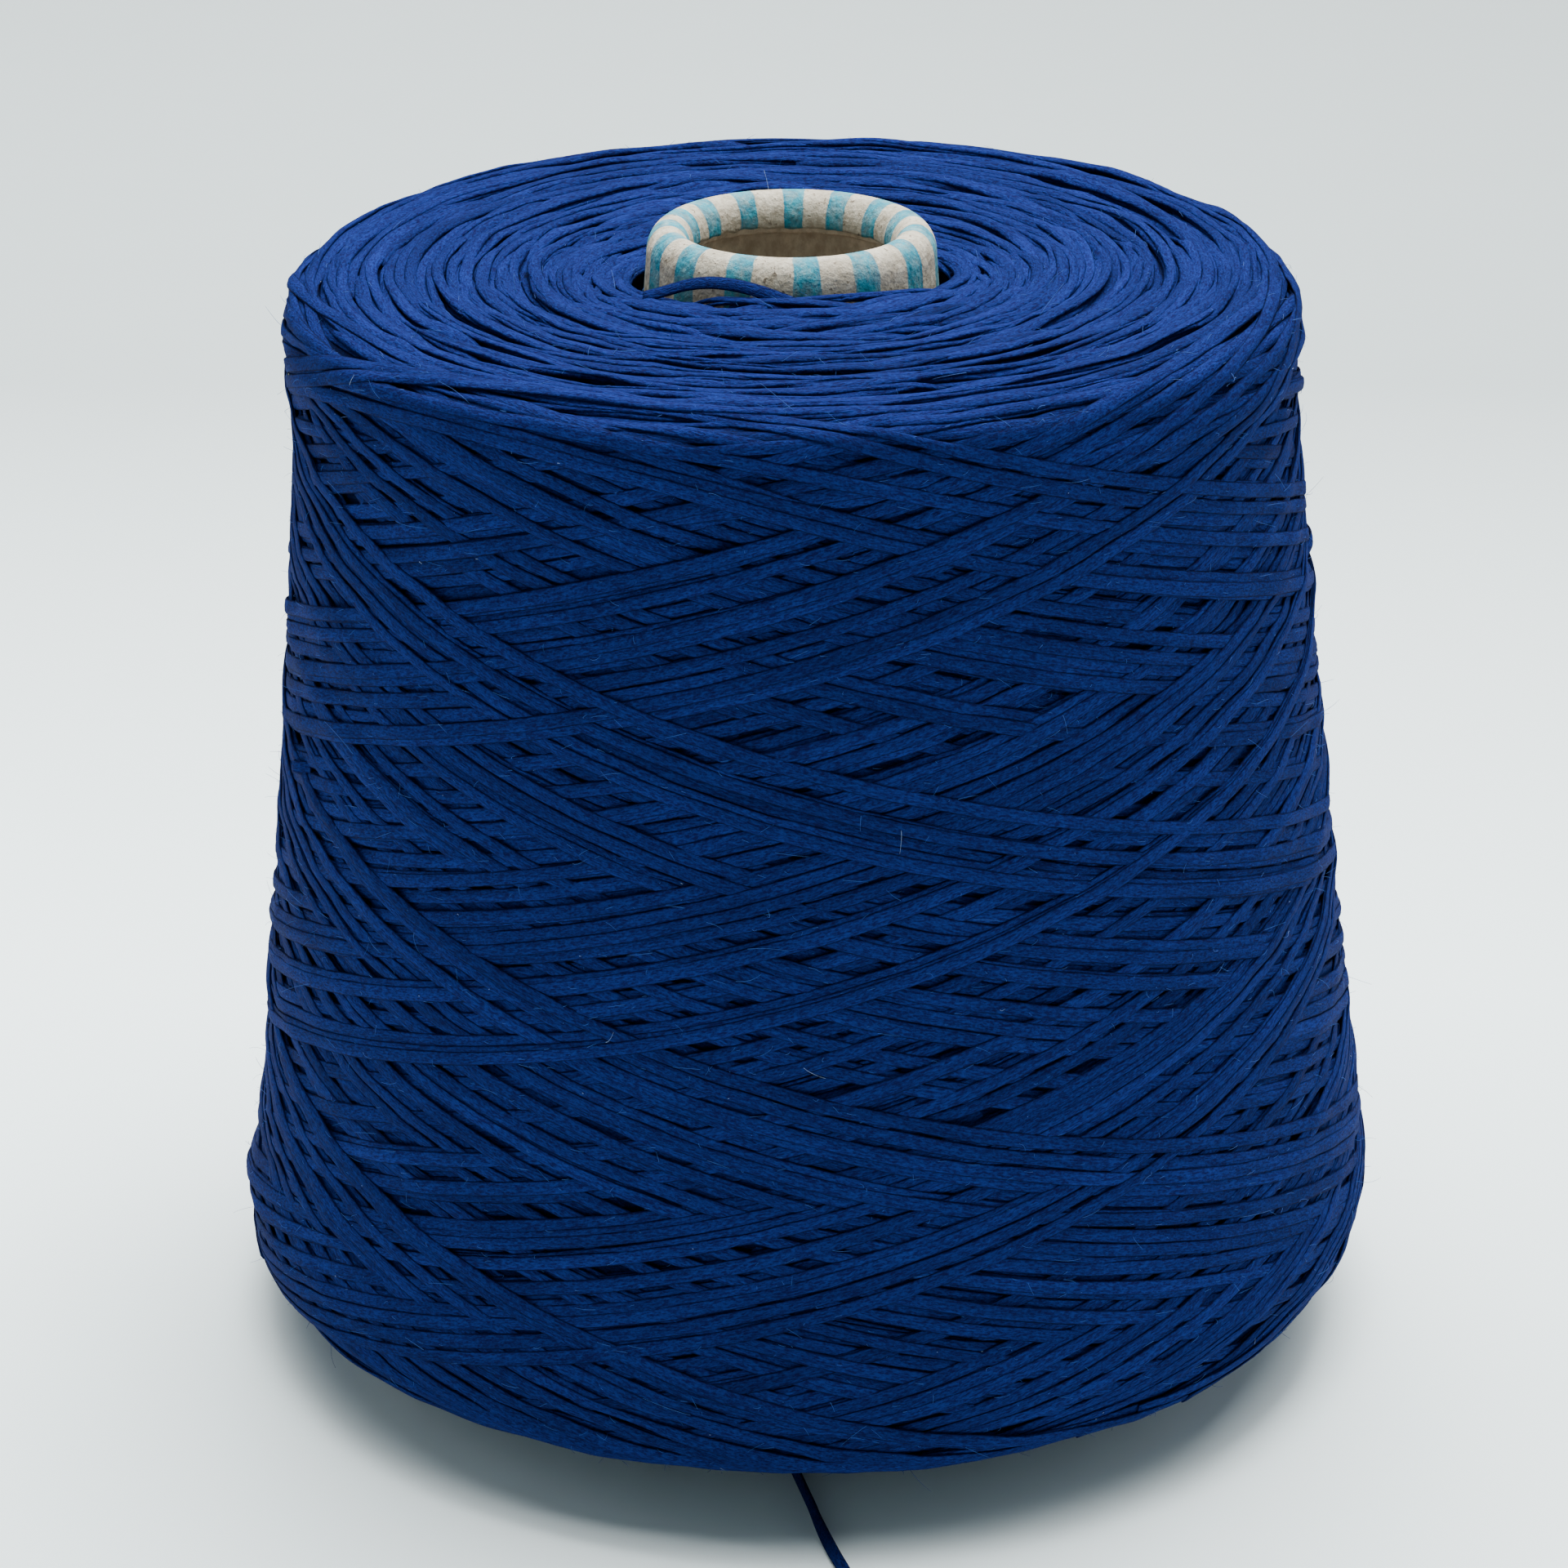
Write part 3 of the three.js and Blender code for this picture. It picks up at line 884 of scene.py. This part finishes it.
def make_bunch(material):
    """The turns at the foot of the cone that hold the yarn's inner end."""
    steps = int(BUNCH_TURNS * 2 * math.pi * BUNCH_RADIUS / SAMPLE_STEP)
    share = np.linspace(0, 1, steps)
    angle = math.radians(-112) - 2 * math.pi * BUNCH_TURNS * (1 - share)
    z = BUNCH_HIGH_Z + (BUNCH_LOW_Z - BUNCH_HIGH_Z) * share + 0.9 * np.sin(share * 19) * (1 - share)
    radius = cone_radius(z) + GAP + 0.25 + 0.12 * np.sin(share * 31)
    route = np.stack([radius * np.cos(angle), radius * np.sin(angle), z], 1)
    roll = np.full(steps, 88.0)
    ribbon("foot_bunch", route, 1.75, LOOSE_THICKNESS, roll, material, ("tail_bunch",))


def make_loose_loops(winding, material):
    """Short stretches that have slipped and stand off the package in small bows."""
    surface = winding.surface
    widest = surface.widest
    for number, (degrees, z, length, rise, slant) in enumerate(LOOSE_LOOPS, 1):
        middle = surface.where(surface.z, z, widest) if z > WIDEST[1] else widest - 1.25 * (WIDEST[1] - z)
        share = np.linspace(-1, 1, 30)
        angle = math.radians(degrees) + share * length / 2 / surface.at(surface.radius, middle)
        along = middle + share * slant
        height = -0.9 + (rise + 0.9) * np.cos(share * math.pi / 2) ** 1.5
        route = surface.point(angle, along, height)
        name, roll = f"loose_loop_{number}", np.full(len(route), 80.0)
        ribbon(name, route, LOOSE_WIDTH, LOOSE_THICKNESS, roll, material, ("yarn_package",), 1.0)


def make_loop(material):
    """The loose turn that stands off the yarn in front of the nose."""
    degrees, radius, z = np.transpose(LOOP_ROUTE)
    angle = np.radians(degrees)
    route = smooth_route(np.stack([radius * np.cos(angle), radius * np.sin(angle), z], 1), 0.8)
    roll = slow_noise(len(route), 12, 8) + 58
    ribbon("nose_loop_strand", route, LOOSE_WIDTH, LOOSE_THICKNESS, roll, material, ("nose_loop",))


def angles_round(count):
    return np.linspace(0, 2 * math.pi, count, endpoint=False)


def turned_faces(around, count):
    """Faces of a ring made of a closed outline of count points, repeated around an axis."""
    i, k = np.meshgrid(np.arange(around), np.arange(count), indexing="ij")
    after_i, after_k = (i + 1) % around, (k + 1) % count
    corners = [i * count + k, after_i * count + k, after_i * count + after_k, i * count + after_k]
    return np.stack(corners, -1).reshape(-1, 4)


def turned_piece(name, outline, around, material, stands_for, shape, extra):
    """A closed solid of revolution. shape moves its points, and extra gives attributes by angle."""
    angle = angles_round(around)
    count = len(outline)
    turn = np.repeat(angle[:, None], count, 1)
    radius, z = shape(turn, *(np.repeat(column[None], around, 0) for column in outline.T))
    points = np.stack([radius * np.cos(turn), radius * np.sin(turn), z], -1)
    faces = turned_faces(around, count)
    attributes = {key: np.repeat(value(angle), count) for key, value in extra.items()}
    mesh_piece(name, points, faces, material, stands_for, attributes)


def ply_outline(inset, thickness, foot_z, lip_angle, wall_steps):
    """A ply of the cone: up its outside, round the rolled edge, back under it and down its inside."""
    under = inset + thickness
    heights = np.linspace(foot_z, ROLL_CENTRE[1], wall_steps)[:-1]
    walls = cone_radius(heights) - inset
    return np.concatenate([
        np.stack([walls, heights], 1),
        arc(ROLL_CENTRE, ROLL_OUT - inset, ROLL_UP - inset, 0, lip_angle, 34),
        arc(ROLL_CENTRE, ROLL_OUT - under, ROLL_UP - under, lip_angle, 0, 22),
        np.stack([walls - thickness, heights], 1)[::-1],
    ])


def ripple(angle, seed, size, highest=9):
    """A smooth random wave round the axis."""
    local = np.random.default_rng(seed)
    wave = np.zeros_like(angle)
    for order in range(2, highest):
        wave += local.normal(0, size / order ** 0.7) * np.cos(order * angle + local.uniform(0, 6.28))
    return wave


def past_stripe(angle):
    """How many degrees each angle lies past the middle of the nearest printed stripe."""
    degrees = np.degrees(angle + math.pi / 2)[:, None]
    past = (degrees - np.array(STRIPES) + 180) % 360 - 180
    return past[np.arange(len(past)), np.abs(past).argmin(1)]


def stripe_distance(angle):
    """How far inside a printed stripe each angle is, in millimetres; negative between the stripes."""
    return np.radians(STRIPE_WIDTH / 2 - np.abs(past_stripe(angle))) * NOSE_RADIUS


def stripe_edge(angle):
    """One on the thin dark line along one side of each stripe."""
    return np.clip(1 - np.abs(past_stripe(angle) - STRIPE_WIDTH / 2 + 0.9), 0, 1)


def make_cone():
    """The board and its printed ply, each rolled in at the nose, where their edges are a little ragged."""
    def ragged(angle, radius, z):
        inside = np.clip((ROLL_CENTRE[0] - radius) / ROLL_OUT, 0, 1) * (z > ROLL_CENTRE[1] - 4)
        return radius + ripple(angle, 3, 0.05) * inside, z + ripple(angle, 5, 0.22, 40) * inside ** 2

    cover = ply_outline(0, COVER_THICKNESS, GAP, COVER_LIP_ANGLE, 30)
    turned_piece("cone_printed_ply", cover, 720, cover_material(), ("cone_cover",), ragged,
                 {"stripe": stripe_distance, "edge": stripe_edge})
    board = ply_outline(COVER_THICKNESS + GAP, BOARD_THICKNESS, 0, BOARD_LIP_ANGLE, 30)
    turned_piece("cone_inner_board", board, 240, board_material(), ("cone_board",), ragged, {})


def make_core(winding, material):
    """The layers under the ones that show, as one closed body, darkened with painted shade."""
    surface = winding.surface
    places = np.concatenate([np.arange(0, surface.length, 2.0), [surface.length]])
    angle = angles_round(CORE_AROUND)
    turn, along = np.meshgrid(angle, places, indexing="ij")
    near_nose = smooth_step(along, surface.length - 7, surface.length - 2)
    skin = surface.point(turn, along, CORE_HEIGHT - 5.0 * near_nose * behind_nose(turn) ** 0.7)
    wall_heights = np.array([150.0, 100.0, 50.0])
    wall_radius = cone_radius(wall_heights) + GAP
    wall = np.stack([
        np.cos(angle)[:, None] * wall_radius, np.sin(angle)[:, None] * wall_radius,
        np.repeat(wall_heights[None], CORE_AROUND, 0),
    ], -1)
    points = np.concatenate([skin, wall], 1)
    mesh_piece("yarn_core", points, turned_faces(*points.shape[:2]), material, ("yarn_package",),
               {"tone": np.full(points.shape[:2], CORE_PAINTED_SHADE), "thread": points})


def hairs(name, roots, outward, sideways, lengths, thickness, material):
    """Curved fibres that stand off the yarn and lean over sideways."""
    share = np.linspace(0, 1, FIBRE_RINGS)
    bend = rng.normal(0, 0.35, (len(roots), 3))
    shape = outward[:, None] * (share * (1 - 0.45 * share))[None, :, None]
    shape = shape + (sideways[:, None] * share[None, :, None]) + bend[:, None] * (share ** 2)[None, :, None]
    line = roots[:, None] + shape * lengths[:, None, None]
    ahead = np.gradient(line, axis=1)
    ahead /= np.linalg.norm(ahead, axis=2)[..., None]
    across = np.cross(ahead, np.roll(outward, 1, 1)[:, None])
    across /= np.maximum(np.linalg.norm(across, axis=2), 1e-6)[..., None]
    over = np.cross(ahead, across)
    taper = (thickness * (1 - 0.5 * share))[None, :, None]
    across, over = across * taper, over * taper
    rings = np.stack([line + across, line + over, line - across, line - over], 2)
    count = len(roots)
    linked = np.tile(np.append(np.ones(FIBRE_RINGS - 1, bool), False), count)
    first = np.arange(count) * FIBRE_RINGS
    faces = tape_faces(linked, first, first + FIBRE_RINGS - 1, 4)
    mesh_piece(name, rings, faces, material, ("yarn_package",))


def surface_places(winding, count):
    """Random places on top of the yarn, with the directions straight out and level along it there."""
    surface = winding.surface
    weight = surface.radius / surface.radius.sum()
    along = rng.choice(surface.along, count, p=weight) + rng.uniform(-0.5, 0.5, count) * CELL
    angle = rng.uniform(0, 2 * math.pi, count)
    level = winding.heights[winding.cells(angle, along)] + TAPE_THICKNESS / 2 + LIFT
    root = surface.point(angle, along, level)
    beyond = surface.point(angle, along, level + 1.0)
    outward = beyond - root
    level_along = np.stack([-np.sin(angle), np.cos(angle), np.zeros(count)], -1)
    return root, outward, level_along


def make_fibres(winding, name, count, spread, length_scale, limits, rises, stand_off, material):
    """Fibres of random length, within limits, that lean level along the package, give or take spread."""
    root, outward, level_along = surface_places(winding, count)
    lean = level_along * rng.normal(0, 1.0, count)[:, None] + rng.normal(0, spread, (count, 3))
    lengths = rng.gamma(3.0, length_scale, count).clip(*limits)
    rise = rng.uniform(*rises, count)[:, None]
    hairs(name, root + stand_off * outward, outward * rise, lean, lengths, FIBRE_RADIUS, material)


def make_fuzz(winding):
    """Fine blue fibres all over the yarn, a few pale ones and specks of dust."""
    blue = fibre_material("blue_fuzz", 900, (0.006, 0.035, 0.17, 1), (0.022, 0.09, 0.32, 1))
    lint = fibre_material("pale_lint", 1500, (0.05, 0.12, 0.28, 1), (0.26, 0.34, 0.46, 1))
    make_fibres(winding, "blue_fuzz", FUZZ_FIBRES, 0.4, 0.34, (0.3, 3.2), (0.25, 1.0), 0.0, blue)
    make_fibres(winding, "pale_fibres", PALE_FIBRES, 0.7, 0.45, (0.6, 2.0), (0.05, 0.25), 0.12, lint)
    root, outward, level_along = surface_places(winding, SPECKS)
    lengths = rng.uniform(0.10, 0.28, SPECKS)
    hairs("dust_specks", root + 0.15 * outward, outward * 0.1, level_along, lengths, SPECK_RADIUS, lint)


def make_stage():
    """A pale floor that curves up into a wall all the way round."""
    curve = np.radians(np.arange(6, 91, 6))
    radii = np.concatenate([
        [0.6, 1.2, 1.9, FLOOR_RADIUS], FLOOR_RADIUS + WALL_CURVE * np.sin(curve), [FLOOR_RADIUS + WALL_CURVE],
    ])
    heights = np.concatenate([[0, 0, 0, 0], WALL_CURVE * (1 - np.cos(curve)), [WALL_HEIGHT]])
    turn = angles_round(STAGE_AROUND)
    rings = np.stack([
        radii[:, None] * np.cos(turn), radii[:, None] * np.sin(turn),
        np.repeat(heights[:, None], STAGE_AROUND, 1),
    ], -1)
    points = np.concatenate([rings.reshape(-1, 3), [[0, 0, 0]]])
    step = np.arange(STAGE_AROUND)
    after = (step + 1) % STAGE_AROUND
    faces = [(k, n, len(points) - 1) for k, n in zip(step.tolist(), after.tolist())]
    for row in range(len(radii) - 1):
        low, high = row * STAGE_AROUND, (row + 1) * STAGE_AROUND
        faces += np.stack([low + step, high + step, high + after, low + after], 1).tolist()
    mesh = bpy.data.meshes.new("studio_floor")
    mesh.from_pydata(points, [], faces)
    mesh.shade_smooth()
    mesh.materials.append(backdrop_material())
    add_object("studio_floor", mesh)


def area_light(name, place, target, size, power):
    lamp = bpy.data.lights.new(name, "AREA")
    lamp.shape = "SQUARE"
    lamp.size = size
    lamp.energy = power
    holder = add_object(name, lamp)
    holder.location = place
    holder.rotation_euler = (Vector(target) - Vector(place)).to_track_quat("-Z", "Y").to_euler()


def make_lights():
    """A wide soft light overhead, stronger in its middle, a weak one at each side, and an even room."""
    area_light("overhead_light", (0.11, 0.42, 1.35), (0, 0.1, 0.0), 2.0, 59)
    area_light("inner_overhead_light", (0.11, 0.36, 1.25), (0, 0.1, 0.0), 0.9, 42)
    area_light("left_light", (-1.5, 0.1, 0.8), (0, 0, 0.1), 0.9, 4)
    area_light("right_light", (1.5, 0.1, 0.8), (0, 0, 0.1), 0.9, 4)
    for number, degrees in enumerate(WALL_LIGHT_ANGLES, 1):
        angle = math.radians(degrees)
        toward = Vector((math.cos(angle), math.sin(angle), 0))
        place = toward * 1.4 + Vector((0, 0, 1.0))
        area_light(f"wall_light_{number}", place, toward * 2.4, 1.0, 5)
    world = bpy.data.worlds.new("even_room")
    world.use_nodes = True
    world.node_tree.nodes["Background"].inputs["Color"].default_value = (0.86, 0.90, 0.92, 1)
    world.node_tree.nodes["Background"].inputs["Strength"].default_value = 0.05
    bpy.context.scene.world = world


make_camera()
yarn = yarn_material("blue_cotton_tape", 1.0)
make_tail(yarn)
make_bunch(yarn)
make_loop(yarn)
make_cone()
package = wind_package()
strand_pieces(package, yarn)
# the core gets a darker copy of the yarn's material, as painted shade
make_core(package, yarn_material("blue_cotton_core_painted_shade", 0.5))
make_loose_loops(package, yarn)
make_fuzz(package)
make_stage()
make_lights()
